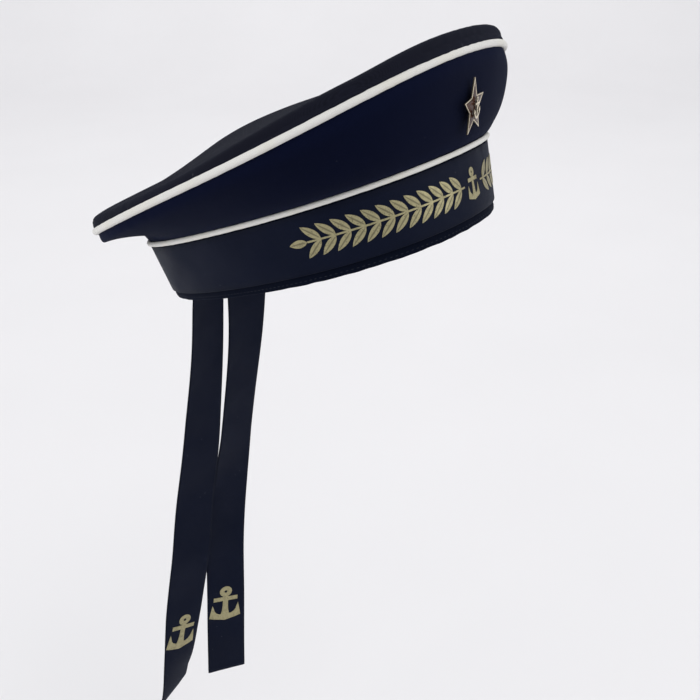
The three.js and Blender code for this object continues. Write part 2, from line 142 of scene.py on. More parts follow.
class CapPrintSettings(bpy.types.PropertyGroup):
    gold: paint("Gold", "Pale gold of the print", (0.36, 0.325, 0.185))
    thickness: size("Thickness", "How far the print stands on the ribbon", 0.00014, 0.00005, 0.001)
    border_height: size("Border height", "Height of the leaf border on the front", 0.0172, 0.005, 0.025)
    border_reach: share("Border reach", "Reach of the border to each side, as a share of a half turn", 0.33)
    leaf_pairs: bpy.props.IntProperty(
        name="Leaf pairs", description="Pairs of leaves on each side of the middle",
        default=12, min=2, max=40,
    )
    anchor_height: size("Anchor height", "Height of the anchor on each hanging end", 0.0338, 0.01, 0.038)


class CapBadgeSettings(bpy.types.PropertyGroup):
    gilt: paint("Gilt", "Pale gilt of the star's rim and anchor", (0.78, 0.69, 0.53))
    enamel: paint("Enamel", "Brown-red of the star's enamel", (0.062, 0.020, 0.009))
    steel: paint("Steel", "Plain metal of the post", (0.55, 0.53, 0.49))
    round_over: size("Round over", "Radius of the badge's worn edges", 0.00018, 0.00002, 0.001)


class CapStageSettings(bpy.types.PropertyGroup):
    floor_colour: paint("Floor colour", "Pale floor and wall behind the cap", (0.82, 0.81, 0.82))
    floor_drop: size("Floor drop", "How far the floor lies under the ribbon's ends", 0.12, 0.0, 1.0)
    key_watts: power("Key light", "Power of the large light above", 5.0)
    fill_watts: power("Fill light", "Power of the light at the side", 6.0)
    backdrop_watts: power("Backdrop light", "Power of the light on the wall", 36.0)
    ambient: share("Ambient", "Strength of the even light all round", 0.83, 3.0)


# Modelling helpers


def pick_nothing():
    if bpy.context.mode != "OBJECT":
        bpy.ops.object.mode_set(mode="OBJECT")
    bpy.ops.object.select_all(action="DESELECT")


def pick(obj):
    """Makes obj the only selected and the active object."""
    pick_nothing()
    obj.hide_set(False)
    obj.select_set(True)
    bpy.context.view_layer.objects.active = obj


@contextlib.contextmanager
def edit_mode(select="SELECT"):
    """Edit mode on the active object, with its whole mesh selected or deselected."""
    bpy.ops.object.mode_set(mode="EDIT")
    bpy.ops.mesh.select_all(action=select)
    yield
    bpy.ops.object.mode_set(mode="OBJECT")


def apply_modifier(obj, kind, **values):
    pick(obj)
    modifier = obj.modifiers.new(kind.title(), kind)
    for key, value in values.items():
        setattr(modifier, key, value)
    bpy.ops.object.modifier_apply(modifier=modifier.name)


def smooth(obj, degrees=None):
    pick(obj)
    if degrees is None:
        bpy.ops.object.shade_smooth()
    else:
        bpy.ops.object.shade_smooth_by_angle(angle=math.radians(degrees))


def copy_mesh(mesh, name):
    """A new object in the scene, with its own copy of a mesh."""
    obj = bpy.data.objects.new(name, mesh.copy())
    obj.data.name = name
    bpy.context.scene.collection.objects.link(obj)
    return obj


def copy_of(node, name, quads=True):
    """A copy of a solid with its loose triangles joined, and joined into quads where that is wanted."""
    obj = copy_mesh(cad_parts[node].data, name)
    obj.data.materials.clear()
    pick(obj)
    with edit_mode():
        bpy.ops.mesh.remove_doubles(threshold=0.01 * MM)
        if quads:
            limit = math.radians(60)
            bpy.ops.mesh.tris_convert_to_quads(face_threshold=limit, shape_threshold=limit)
    return obj


def merge_doubles(obj):
    """Joins vertices that lie on each other, so that every face has an area."""
    pick(obj)
    with edit_mode():
        bpy.ops.mesh.remove_doubles(threshold=0.002 * MM)
        bpy.ops.mesh.dissolve_degenerate(threshold=0.002 * MM)


def read_points(obj):
    points = np.empty(len(obj.data.vertices) * 3)
    obj.data.vertices.foreach_get("co", points)
    return points.reshape(-1, 3)


def write_points(obj, points):
    obj.data.vertices.foreach_set("co", np.ascontiguousarray(points, dtype=float).ravel())
    obj.data.update()


def read_normals(obj):
    normals = np.empty(len(obj.data.vertices) * 3, dtype=np.float32)
    obj.data.vertex_normals.foreach_get("vector", normals)
    return normals.reshape(-1, 3).astype(float)


def turned(points, matrix):
    return points @ np.array(matrix.to_3x3()).T


def ripples(points, seed):
    """Soft noise between about -1 and 1 at each point."""
    return np.array([noise.noise(Vector(p) + Vector((seed, 0, 0))) for p in points]) * 1.6


def beside(distance, width):
    """1 where a distance is nothing, falling to 0 where it reaches a width."""
    return np.clip(1 - distance / width, 0, 1)


def set_attribute(obj, name, values):
    attribute = obj.data.attributes.new(name, "FLOAT", "POINT")
    attribute.data.foreach_set("value", np.ascontiguousarray(values, dtype=np.float32))


def set_uv(obj, across, along, wraps=None):
    """A UV map in metres. Where a face crosses the back, where across jumps by wraps, it is kept whole."""
    mesh = obj.data
    layer = mesh.uv_layers.new(name="cloth") if not mesh.uv_layers else mesh.uv_layers[0]
    layer.name = "cloth"
    mesh.uv_layers.active = layer
    corners = np.empty(len(mesh.loops), dtype=np.int32)
    mesh.loops.foreach_get("vertex_index", corners)
    u, v = across[corners].copy(), along[corners]
    if wraps:
        starts = np.empty(len(mesh.polygons), dtype=np.int32)
        totals = np.empty(len(mesh.polygons), dtype=np.int32)
        mesh.polygons.foreach_get("loop_start", starts)
        mesh.polygons.foreach_get("loop_total", totals)
        face = np.repeat(np.arange(len(starts)), totals)
        highest = np.full(len(starts), -1e9)
        np.maximum.at(highest, face, u)
        u = np.where(highest[face] - u > wraps / 2, u + wraps, u)
    layer.data.foreach_set("uv", np.stack([u, v], 1).ravel().astype(np.float32))


def finish_piece(obj, material, slot, *nodes):
    obj.data.materials.clear()
    obj.data.materials.append(material)
    if nodes:
        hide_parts(*nodes)
    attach(obj, "root")


# Material helpers


def made_once(store, title=None):
    """Makes a material or node group the first time its name is asked for, and finds it after that."""

    def wrap(make):
        @functools.wraps(make)
        def find_or_make(name=title, *values, **named):
            return getattr(bpy.data, store).get(name) or make(name, *values, **named)

        return find_or_make

    return wrap


def fill_sockets(node, values):
    """Gives a node's inputs their numbers and colours, or links them to other nodes' outputs."""
    for key, value in values.items():
        if isinstance(value, bpy.types.NodeSocket):
            node.id_data.links.new(value, node.inputs[key])
        else:
            node.inputs[key].default_value = value


def add_node(tree, kind, values=None, **settings):
    node = tree.nodes.new("ShaderNode" + kind)
    for key, value in settings.items():
        setattr(node, key, value)
    fill_sockets(node, values or {})
    return node


def maths(tree, operation, a, b, c=None):
    values = {i: value for i, value in enumerate((a, b, c)) if value is not None}
    return add_node(tree, "Math", values, operation=operation).outputs[0]


def times(tree, a, b):
    return maths(tree, "MULTIPLY", a, b)


def blend_colour(tree, factor, a, b):
    values = {"Factor": factor, 6: a, 7: b}
    return add_node(tree, "Mix", values, data_type="RGBA").outputs[2]


def scale_colour(tree, colour, scale):
    return add_node(tree, "VectorMath", {0: colour, "Scale": scale}, operation="SCALE").outputs[0]


def fit_range(tree, value, low, high, to_low=0.0, to_high=1.0):
    values = {"Value": value, 1: low, 2: high, 3: to_low, 4: to_high}
    return add_node(tree, "MapRange", values).outputs[0]


def noise_at(tree, position, scale, detail):
    return add_node(tree, "TexNoise", {"Vector": position, "Scale": scale, "Detail": detail}).outputs[0]


def attribute(tree, name):
    return add_node(tree, "Attribute", attribute_name=name).outputs["Fac"]


def object_position(tree):
    return add_node(tree, "TexCoord").outputs["Object"]


def cloth_position(tree):
    return add_node(tree, "UVMap", uv_map="cloth").outputs[0]


def bump(tree, height, strength, depth, under=None):
    """The normal of a relief, which may lie over another relief's normal."""
    values = {"Height": height, "Strength": strength, "Distance": depth}
    if under is not None:
        values["Normal"] = under
    return add_node(tree, "Bump", values).outputs[0]


def new_group(name, inputs, outputs):
    """An empty node group with the named sockets: the group, what it is given, and its output node."""
    group = bpy.data.node_groups.new(name, "ShaderNodeTree")
    for socket, kind, default in inputs:
        made = group.interface.new_socket(socket, in_out="INPUT", socket_type="NodeSocket" + kind)
        if default is not None:
            made.default_value = default
    for socket, kind in outputs:
        group.interface.new_socket(socket, in_out="OUTPUT", socket_type="NodeSocket" + kind)
    return group, group.nodes.new("NodeGroupInput").outputs, group.nodes.new("NodeGroupOutput")


def place_group(tree, group, **values):
    node = tree.nodes.new("ShaderNodeGroup")
    node.node_tree = group
    fill_sockets(node, values)
    return node.outputs


@made_once("node_groups", "Twill weave")
def twill_weave(name):
    """Diagonal ridges broken by the crossing threads."""
    inputs = [("Position", "Vector", None), ("Pitch", "Float", 0.0006)]
    tree, given, gives = new_group(name, inputs, [("Height", "Float"), ("Shade", "Float")])
    part = add_node(tree, "SeparateXYZ", {"Vector": given["Position"]}).outputs
    across = maths(tree, "DIVIDE", part["X"], given["Pitch"])
    along = maths(tree, "DIVIDE", part["Y"], given["Pitch"])
    wander = noise_at(tree, given["Position"], 420.0, 2.0)
    diagonal = maths(tree, "ADD", times(tree, across, 0.8), along)
    diagonal = maths(tree, "ADD", diagonal, times(tree, wander, 0.9))
    ridge = maths(tree, "PINGPONG", diagonal, 0.5)
    cross = maths(tree, "PINGPONG", maths(tree, "SUBTRACT", across, along), 0.5)
    height = times(tree, ridge, maths(tree, "MULTIPLY_ADD", cross, 0.8, 0.8))
    fill_sockets(gives, {"Height": height, "Shade": fit_range(tree, height, 0.0, 0.55, 0.72, 1.18)})
    return tree


@made_once("node_groups", "Ribbed weave")
def ribbed_weave(name):
    """Cross ribs of a ribbon, with fine warp threads over them."""
    inputs = [("Position", "Vector", None), ("Pitch", "Float", 0.0007)]
    tree, given, gives = new_group(name, inputs, [("Height", "Float"), ("Shade", "Float")])
    part = add_node(tree, "SeparateXYZ", {"Vector": given["Position"]}).outputs
    along = maths(tree, "DIVIDE", part["Y"], given["Pitch"])
    across = maths(tree, "DIVIDE", part["X"], times(tree, given["Pitch"], 0.4))
    wander = noise_at(tree, given["Position"], 90.0, 2.0)
    along = maths(tree, "ADD", along, times(tree, wander, 0.35))
    rib = maths(tree, "PINGPONG", along, 0.5)
    warp = maths(tree, "PINGPONG", across, 0.5)
    height = maths(tree, "MULTIPLY_ADD", warp, 0.3, rib)
    fill_sockets(gives, {"Height": height, "Shade": fit_range(tree, height, 0.0, 0.65, 0.8, 1.15)})
    return tree


@made_once("node_groups", "Faded cloth")
def faded_cloth(name):
    """Uneven dye over a hand's breadth, and a few pale specks of lint."""
    inputs = [("Position", "Vector", None), ("Colour", "Color", (0.5, 0.5, 0.5, 1)), ("Shade", "Float", 1.0)]
    inputs += [("Fade", "Float", 0.3), ("Lint", "Float", 0.3)]
    tree, given, gives = new_group(name, inputs, [("Colour", "Color"), ("Roughness", "Float")])
    patches = noise_at(tree, given["Position"], 22.0, 4.0)
    change = times(tree, maths(tree, "SUBTRACT", patches, 0.5), given["Fade"])
    strength = times(tree, maths(tree, "ADD", change, 1.0), given["Shade"])
    tinted = scale_colour(tree, given["Colour"], strength)
    lint = add_node(tree, "TexVoronoi", {"Vector": given["Position"], "Scale": 260.0, "Randomness": 1.0})
    near = fit_range(tree, lint.outputs["Distance"], 0.05, 0.11, 1.0, 0.0)
    part = add_node(tree, "SeparateColor", {0: lint.outputs["Color"]}).outputs
    rare = maths(tree, "GREATER_THAN", part[0], 0.93)
    lint_here = times(tree, times(tree, near, rare), given["Lint"])
    colour = blend_colour(tree, lint_here, tinted, (0.16, 0.165, 0.18, 1))
    fill_sockets(gives, {"Colour": colour, "Roughness": fit_range(tree, patches, 0.3, 0.7, 0.86, 0.97)})
    return tree


@made_once("node_groups", "Worn metal")
def worn_metal(name):
    """Fine scratches, pits and a dull bloom in patches."""
    inputs = [("Position", "Vector", None), ("Colour", "Color", (0.5, 0.5, 0.5, 1))]
    inputs += [("Tarnish", "Float", 0.4)]
    outputs = [("Colour", "Color"), ("Roughness", "Float"), ("Height", "Float")]
    tree, given, gives = new_group(name, inputs, outputs)
    bloom = noise_at(tree, given["Position"], 330.0, 4.0)
    dull = times(tree, fit_range(tree, bloom, 0.45, 0.7), given["Tarnish"])
    dark = scale_colour(tree, given["Colour"], 0.42)
    stretched = add_node(tree, "Mapping", {"Vector": given["Position"], "Scale": (1.0, 1.0, 9.0)}).outputs[0]
    fill_sockets(gives, {
        "Colour": blend_colour(tree, dull, given["Colour"], dark),
        "Roughness": fit_range(tree, bloom, 0.3, 0.75, 0.22, 0.48),
        "Height": noise_at(tree, stretched, 900.0, 2.0),
    })
    return tree


def start_material(name):
    material = bpy.data.materials.new(name)
    material.use_nodes = True
    tree = material.node_tree
    tree.nodes.clear()
    shader = tree.nodes.new("ShaderNodeBsdfPrincipled")
    output = tree.nodes.new("ShaderNodeOutputMaterial")
    tree.links.new(shader.outputs[0], output.inputs[0])
    return material, tree, shader


def set_shader(shader, **values):
    fill_sockets(shader, {key.replace("_", " "): value for key, value in values.items()})


@made_once("materials")
def navy_cloth(name, colour, pitch, fade, sheen, lint=0.25):
    """Near-black wool twill, unevenly dyed and a little worn lighter beside its seams."""
    material, tree, shader = start_material(name)
    position = cloth_position(tree)
    weave = place_group(tree, twill_weave(), Position=position, Pitch=pitch)
    shade = maths(tree, "ADD", weave["Shade"], times(tree, attribute(tree, "near_seam"), 0.35))
    dyed = place_group(
        tree, faded_cloth(), Position=position, Colour=(*colour, 1), Shade=shade, Fade=fade, Lint=lint
    )
    under = bump(tree, noise_at(tree, position, 1500.0, 3.0), 0.25, 0.0003)
    relief = bump(tree, weave["Height"], 0.45, 0.00025, under)
    set_shader(shader, Base_Color=dyed["Colour"], Roughness=dyed["Roughness"], Normal=relief)
    set_shader(shader, Specular_IOR_Level=0.05, Sheen_Weight=sheen, Sheen_Roughness=0.4)
    set_shader(shader, Sheen_Tint=(0.52, 0.62, 0.95, 1))
    return material


@made_once("materials")
def white_piping(name, colour):
    """Matt white cloth, a little yellowed where it is soiled."""
    material, tree, shader = start_material(name)
    position = cloth_position(tree)
    weave = place_group(tree, twill_weave(), Position=position, Pitch=0.0005)
    shade = weave["Shade"]
    dyed = place_group(
        tree, faded_cloth(), Position=position, Colour=(*colour, 1), Shade=shade, Fade=0.12, Lint=0.0
    )
    soiled = times(tree, fit_range(tree, noise_at(tree, position, 45.0, 3.0), 0.5, 0.75), 0.35)
    yellowed = blend_colour(tree, soiled, dyed["Colour"], (0.60, 0.57, 0.42, 1))
    relief = bump(tree, weave["Height"], 0.35, 0.0002)
    set_shader(shader, Base_Color=yellowed, Roughness=dyed["Roughness"], Normal=relief)
    set_shader(shader, Specular_IOR_Level=0.25, Sheen_Weight=0.15, Sheen_Roughness=0.5)
    return material


@made_once("materials")
def navy_ribbon(name, colour, pitch, sheen):
    """Ribbed navy ribbon with a soft sheen and darker selvedges."""
    material, tree, shader = start_material(name)
    position = cloth_position(tree)
    weave = place_group(tree, ribbed_weave(), Position=position, Pitch=pitch)
    shade = maths(tree, "SUBTRACT", weave["Shade"], times(tree, attribute(tree, "selvedge"), 0.3))
    dyed = place_group(
        tree, faded_cloth(), Position=position, Colour=(*colour, 1), Shade=shade, Fade=0.35, Lint=0.3
    )
    gloss = fit_range(tree, noise_at(tree, position, 30.0, 3.0), 0.3, 0.7, 0.52, 0.68)
    relief = bump(tree, weave["Height"], 0.4, 0.0002)
    set_shader(shader, Base_Color=dyed["Colour"], Roughness=gloss, Normal=relief)
    set_shader(shader, Specular_IOR_Level=0.08, Sheen_Weight=sheen, Sheen_Roughness=0.35)
    set_shader(shader, Sheen_Tint=(0.46, 0.62, 0.95, 1))
    return material


@made_once("materials")
def sewing_thread(name, colour):
    """Twisted navy thread."""
    material, tree, shader = start_material(name)
    position = object_position(tree)
    dyed = place_group(
        tree, faded_cloth(), Position=position, Colour=(*colour, 1), Shade=1.0, Fade=0.6, Lint=0.0
    )
    relief = bump(tree, noise_at(tree, position, 2600.0, 1.0), 0.5, 0.0001)
    set_shader(shader, Base_Color=dyed["Colour"], Roughness=dyed["Roughness"], Normal=relief)
    set_shader(shader, Specular_IOR_Level=0.3)
    return material


@made_once("materials")
def gold_print(name, colour):
    """Pale gold print, worn through in specks and along the leaves' midribs."""
    material, tree, shader = start_material(name)
    position = object_position(tree)
    metal = place_group(tree, worn_metal(), Position=position, Colour=(*colour, 1), Tarnish=0.3)
    wear_and_lit_faces = times(tree, fit_range(tree, noise_at(tree, position, 1400.0, 2.0), 0.56, 0.68), 0.6)
    bare = maths(tree, "MAXIMUM", wear_and_lit_faces, times(tree, attribute(tree, "vein"), 0.75))
    tone = blend_colour(tree, bare, metal["Colour"], (0.05, 0.045, 0.03, 1))
    gloss = fit_range(tree, metal["Roughness"], 0.22, 0.48, 0.36, 0.58)
    relief = bump(tree, metal["Height"], 0.3, 0.0001)
    set_shader(shader, Base_Color=tone, Roughness=gloss, Normal=relief, Metallic=0.75)
    return material


@made_once("materials")
def gilt_metal(name, colour, tarnish=0.35, painted_side_shade=0.0):
    """Plated metal, tarnished dark in patches, with painted shade on its sides: faces that turn away from
    the piece's largest face are darkened.
    """
    material, tree, shader = start_material(name)
    position = object_position(tree)
    metal = place_group(tree, worn_metal(), Position=position, Colour=(*colour, 1), Tarnish=tarnish)
    # Painted shade: where a face turns away from the piece's largest face, the colour is darkened towards
    # near black.
    dark = times(tree, maths(tree, "SUBTRACT", 1.0, attribute(tree, "wear_and_lit_faces")), painted_side_shade)
    tone = blend_colour(tree, dark, metal["Colour"], (0.030, 0.022, 0.014, 1))
    relief = bump(tree, metal["Height"], 0.2, 0.0001)
    set_shader(shader, Base_Color=tone, Roughness=metal["Roughness"], Normal=relief, Metallic=1.0)
    return material


@made_once("materials")
def red_enamel(name, colour):
    """Deep enamel, clouded and finely crazed."""
    material, tree, shader = start_material(name)
    position = object_position(tree)
    cloud = noise_at(tree, position, 260.0, 3.0)
    darker = (*[c * 0.35 for c in colour], 1)
    deep = blend_colour(tree, fit_range(tree, cloud, 0.35, 0.7), (*colour, 1), darker)
    gloss = fit_range(tree, noise_at(tree, position, 1100.0, 2.0), 0.3, 0.7, 0.16, 0.34)
    set_shader(shader, Base_Color=deep, Roughness=gloss, Normal=bump(tree, cloud, 0.15, 0.0003))
    set_shader(shader, Coat_Weight=0.1, Coat_Roughness=0.35, Specular_IOR_Level=0.2)
    return material


# Where a point lies on the cap

# The cloth's UV map counts the arc round the cap on this radius.
WRAP_RADIUS = 0.1
SECTORS = 72


def around(points):
    """The angle round the cap from the front, height and distance from its middle, in the cap's frame."""
    own = turned(points, TO_CAP)
    return np.arctan2(own[:, 0], -own[:, 1]), own[:, 2], np.hypot(own[:, 0], own[:, 1])


def sectors(angle):
    """Which sector round the cap each angle lies in, and the sectors' middles."""
    edges = np.linspace(-math.pi, math.pi, SECTORS + 1)
    return np.clip(np.digitize(angle, edges) - 1, 0, SECTORS - 1), (edges[:-1] + edges[1:]) / 2


def far_edge(angle, reach):
    """The largest reach of the piece at each point's angle round the cap."""
    bins, middles = sectors(angle)
    most = np.zeros(SECTORS)
    np.maximum.at(most, bins, reach)
    return np.interp(angle, middles, most, period=math.tau)


def wrap_cloth(obj):
    """The UV map of a piece that runs round the cap: arc round it, and distance from its lower edge."""
    angle, height, out = around(read_points(obj))
    bins, middles = sectors(angle)
    low_height, low_out = np.zeros(SECTORS), np.zeros(SECTORS)
    for i in range(SECTORS):
        inside = np.flatnonzero(bins == i)
        lowest = inside[np.argsort(height[inside])[: max(3, len(inside) // 20)]]
        low_height[i], low_out[i] = height[lowest].mean(), out[lowest].mean()
    from_height = np.interp(angle, middles, low_height, period=math.tau)
    from_out = np.interp(angle, middles, low_out, period=math.tau)
    along = np.hypot(height - from_height, out - from_out)
    set_uv(obj, angle * WRAP_RADIUS, along, wraps=math.tau * WRAP_RADIUS)
    return angle, along


def outer_face(tree, angle, height):
    """The point of a piece's outer face at an angle and a height on the cap, and the way it faces."""
    outward = TO_WORLD @ Vector((math.sin(angle), -math.cos(angle), 0))
    start = TO_WORLD @ Vector((0, 0, height)) + outward * 0.3
    hit, normal, index, distance = tree.ray_cast(start, -outward)
    if hit is None:
        raise RuntimeError(f"nothing at angle {angle:.2f}, height {height:.4f}")
    return hit, normal if normal.dot(outward) > 0 else -normal


def tree_of(obj):
    return BVHTree.FromObject(obj, bpy.context.evaluated_depsgraph_get())


def tree_of_node(node):
    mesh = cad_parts[node].data
    return BVHTree.FromPolygons([v.co for v in mesh.vertices], [tuple(p.vertices) for p in mesh.polygons])


# Shaping the cloth


def crease(obj, degrees, amount):
    """Keeps the edges that bend more than an angle from being smoothed away."""
    pick(obj)
    with edit_mode("DESELECT"):
        bpy.ops.mesh.select_mode(type="EDGE")
        bpy.ops.mesh.edges_select_sharp(sharpness=math.radians(degrees))
        bpy.ops.transform.edge_crease(value=amount)


def smoothed(obj, keep=1.0):
    """Subdivides a piece, so that its smooth surface passes through its own vertices where keep is 1."""
    pick(obj)
    modifier = obj.modifiers.new("Smooth cloth", "SUBSURF")
    modifier.levels = modifier.render_levels = 2
    wanted = read_points(obj)
    aim = wanted.copy()
    share_kept = 0.9 * np.broadcast_to(keep, len(wanted))[:, None]
    for _ in range(3):
        shown = obj.evaluated_get(bpy.context.evaluated_depsgraph_get())
        aim += share_kept * (wanted - read_points(shown)[: len(wanted)])
        write_points(obj, aim)
    bpy.ops.object.modifier_apply(modifier=modifier.name)
    smooth(obj)


def tuck_under(obj, piping, reach):
    """Moves an edge that ends beside a piping into its side, as if sewn, and gives the distances."""
    tree = tree_of_node(piping)
    points = read_points(obj)
    distances = np.empty(len(points))
    for i, point in enumerate(points):
        hit, normal, index, distances[i] = tree.find_nearest(Vector(point))
        if distances[i] < reach:
            points[i] = hit + (hit - Vector(point)).normalized() * 0.6 * MM
    write_points(obj, points)
    return distances


def even_out(obj, chosen, repeat):
    """Draws the chosen vertices towards their neighbours, a number of times."""
    pick(obj)
    obj.data.vertices.foreach_set("select", chosen)
    bpy.ops.object.mode_set(mode="EDIT")
    bpy.ops.mesh.select_mode(type="VERT")
    bpy.ops.mesh.vertices_smooth(factor=0.5, repeat=repeat)
    bpy.ops.object.mode_set(mode="OBJECT")


def pucker(obj, angle, near, depth, waves, seed):
    """Moves the cloth in and out beside a seam, in short soft gathers."""
    points, normals = read_points(obj), read_normals(obj)
    sample = np.stack([np.sin(angle) * waves, np.cos(angle) * waves, np.zeros(len(angle))], 1)
    wave = ripples(sample, seed)
    write_points(obj, points + normals * (wave * near * depth)[:, None])


# Crown

# How near to a piping a cut edge lies that is tucked under it.
WALL_FOOT_TUCK = 2.2 * MM
WALL_RIM_TUCK = 2.3 * MM
TOP_TUCK = 1.4 * MM
BAND_TUCK = 1.2 * MM
# The wall may round itself off nearer to the rim than this, and holds its shape from a little further on.
WALL_FREE = 7 * MM
WALL_FREE_FADE = 5 * MM
# Takes in the rim of the post's hole on both faces of the wall, and none of the wall's other vertices.
POST_HOLE_REACH = 3.5 * MM


class CAP_OT_crown(bpy.types.Operator):
    """Makes the crown's wall and top panel in navy cloth"""

    bl_idname = "cap.crown"
    bl_label = "Crown"

    def execute(self, context):
        settings = context.scene.cap_cloth
        wall = copy_of("crown_wall", "crown_wall_cloth")
        close_post_hole(wall)
        tuck_under(wall, "lower_piping", WALL_FOOT_TUCK)
        far = tuck_under(wall, "upper_piping", WALL_RIM_TUCK)
        held = np.clip((far - WALL_FREE) / WALL_FREE_FADE, 0, 1)
        smoothed(wall, keep=np.where(far < WALL_RIM_TUCK, 1.0, held))
        round_under_rim(wall)
        angle, along = wrap_cloth(wall)
        near = beside(along, 9 * MM) + beside(far_edge(angle, along) - along, 9 * MM)
        set_attribute(wall, "near_seam", near)
        pucker(wall, angle, near, settings.pucker_depth, waves=26, seed=3)
        cloth = navy_cloth(
            "Navy wool twill", settings.crown_colour, settings.twill_pitch, settings.fade, 0.035, lint=0.08
        )
        finish_piece(wall, cloth, "crown_cloth", "crown_wall")

        top = copy_of("crown_top", "crown_top_cloth")
        ring = grid_the_middle(top)
        tuck_under(top, "upper_piping", TOP_TUCK)
        smoothed(top)
        own = turned(read_points(top), TO_CAP)
        from_ring = np.linalg.norm(own[:, None, :2] - ring[None, :, :2], axis=2).min(axis=1)
        even_out(top, from_ring < 9 * MM, 40)
        points = read_points(top)
        own = turned(points, TO_CAP)
        set_uv(top, own[:, 0], own[:, 1])
        angle, _, out = around(points)
        near = beside(far_edge(angle, out) - out, 8 * MM)
        set_attribute(top, "near_seam", near)
        pucker(top, angle, near, settings.pucker_depth, waves=30, seed=9)
        # Painted light: the top panel gets a lighter navy than the wall, for the light that falls on it.
        lit = navy_cloth(
            "Navy wool twill, sun-faded", settings.top_colour, settings.twill_pitch, settings.fade, 0.028
        )
        finish_piece(top, lit, "crown_cloth", "crown_top")
        return {"FINISHED"}


def close_post_hole(wall):
    """Takes the post's hole out of the wall and closes both faces, since the star covers it."""
    low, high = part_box("badge_post")
    middle = (low + high) / 2
    mesh = bmesh.new()
    mesh.from_mesh(wall.data)
    rim = [vertex for vertex in mesh.verts if (vertex.co - middle).length < POST_HOLE_REACH]
    bmesh.ops.delete(mesh, geom=rim, context="VERTS")
    bmesh.ops.holes_fill(mesh, edges=[edge for edge in mesh.edges if edge.is_boundary], sides=0)
    bmesh.ops.recalc_face_normals(mesh, faces=mesh.faces)
    still_open = [edge for edge in mesh.edges if not edge.is_manifold]
    mesh.to_mesh(wall.data)
    mesh.free()
    if still_open:
        raise RuntimeError(f"the post's hole still has {len(still_open)} open edges")


def round_under_rim(wall):
    """Rounds the cloth where it turns under the rim at the back."""
    points = read_points(wall)
    rim = tree_of_node("upper_piping")
    far = np.array([rim.find_nearest(Vector(point))[3] for point in points])
    behind = np.abs(around(points)[0]) > math.radians(100)
    even_out(wall, (far > 0.4 * MM) & (far < 10 * MM) & behind, 14)


def grid_the_middle(top):
    """Replaces the fan in the middle of each face with a domed grid, and gives the grid's rim."""
    pick(top)
    bpy.ops.object.mode_set(mode="EDIT")
    mesh = bmesh.from_edit_mesh(top.data)
    poles = [vertex for vertex in mesh.verts if len(vertex.link_edges) > 20]
    if len(poles) != 2:
        raise RuntimeError(f"the top panel should have two poles, and has {len(poles)}")
    fans = []
    for pole in poles:
        ring = [edge.other_vert(pole).co for edge in pole.link_edges]
        fans.append((np.array(TO_CAP @ pole.co), turned(np.array(ring), TO_CAP)))
    bmesh.ops.delete(mesh, geom=poles, context="VERTS")
    bmesh.update_edit_mesh(top.data)
    bpy.ops.mesh.select_mode(type="EDGE")
    for peak, ring in fans:
        bpy.ops.mesh.select_all(action="DESELECT")
        mesh = bmesh.from_edit_mesh(top.data)
        first = len(mesh.verts)
        for edge in mesh.edges:
            edge.select = edge.is_boundary and all(on_ring(vertex, ring) for vertex in edge.verts)
        bmesh.update_edit_mesh(top.data)
        bpy.ops.mesh.fill_grid(span=len(ring) // 4)
        dome(top, first, peak, ring)
    still_open = any(edge.is_boundary for edge in bmesh.from_edit_mesh(top.data).edges)
    bpy.ops.object.mode_set(mode="OBJECT")
    if still_open:
        raise RuntimeError("the grid in the middle of the top panel did not close")
    return fans[0][1]


def on_ring(vertex, ring):
    """Says whether a vertex is one of the ring's own."""
    own = np.array(TO_CAP @ vertex.co)
    return np.linalg.norm(ring - own, axis=1).min() < 0.01 * MM


def dome(top, first, peak, ring):
    """Raises a grid's vertices, from the first one on, into a low dome between its ring and its peak."""
    mesh = bmesh.from_edit_mesh(top.data)
    mesh.verts.ensure_lookup_table()
    spokes = ring - peak
    turn = np.arctan2(spokes[:, 1], spokes[:, 0])
    order = np.argsort(turn)
    lift = peak[2] - ring[:, 2].mean()
    for vertex in mesh.verts[first:]:
        own = TO_CAP @ vertex.co
        x, y = own.x - peak[0], own.y - peak[1]
        rim = np.interp(math.atan2(y, x), turn[order], np.hypot(*spokes[order, :2].T), period=math.tau)
        own.z += lift * max(0.0, 1 - (x * x + y * y) / rim ** 2)
        vertex.co = TO_WORLD @ own
    bmesh.update_edit_mesh(top.data)


# Band and stitches

BAND_RADIUS = 0.0965
STITCH_WIDTH = 0.5 * MM
# The hem's row lies a way up from the band's lower edge, the tacks' rows each a drop below an end's top.
HEM_ROW = {"up": 1.9 * MM, "pitch": 2.9 * MM, "length": 2.1 * MM}
TACK_ROWS = {"drops": (1.8 * MM, 4.6 * MM), "pitch": 2.8 * MM, "length": 2.0 * MM, "margin": 2 * MM}


class CAP_OT_band(bpy.types.Operator):
    """Makes the band that sits on the head, with its rounded hem"""

    bl_idname = "cap.band"
    bl_label = "Band"

    def execute(self, context):
        settings = context.scene.cap_cloth
        band = copy_of("band", "band_cloth")
        tuck_under(band, "lower_piping", BAND_TUCK)
        crease(band, 50, 0.35)
        smoothed(band)
        angle, along = wrap_cloth(band)
        near = beside(along, 5 * MM)
        set_attribute(band, "near_seam", near * 0.3)
        pucker(band, angle, near, settings.pucker_depth, waves=14, seed=5)
        cloth = navy_cloth(
            "Navy wool twill, dark", settings.band_colour, settings.twill_pitch, settings.fade, 0.03
        )
        finish_piece(band, cloth, "band_cloth", "band")
        thread = sewing_thread("Navy sewing thread", settings.thread_colour)
        sew("hem_stitches", hem_places(band), HEM_ROW["length"], thread, "band_cloth")
        return {"FINISHED"}


def hem_places(band):
    """Places for a row of stitches round the band's outer face, just above its lower edge."""
    tree = tree_of(band)
    count = round(math.tau * BAND_RADIUS / HEM_ROW["pitch"])
    path = [outer_face(tree, math.tau * i / count, HEM_ROW["up"]) for i in range(count)]
    places = []
    for i, (middle, out) in enumerate(path):
        run = (path[(i + 1) % count][0] - path[i - 1][0]).normalized()
        places.append((middle, run, out))
    return places


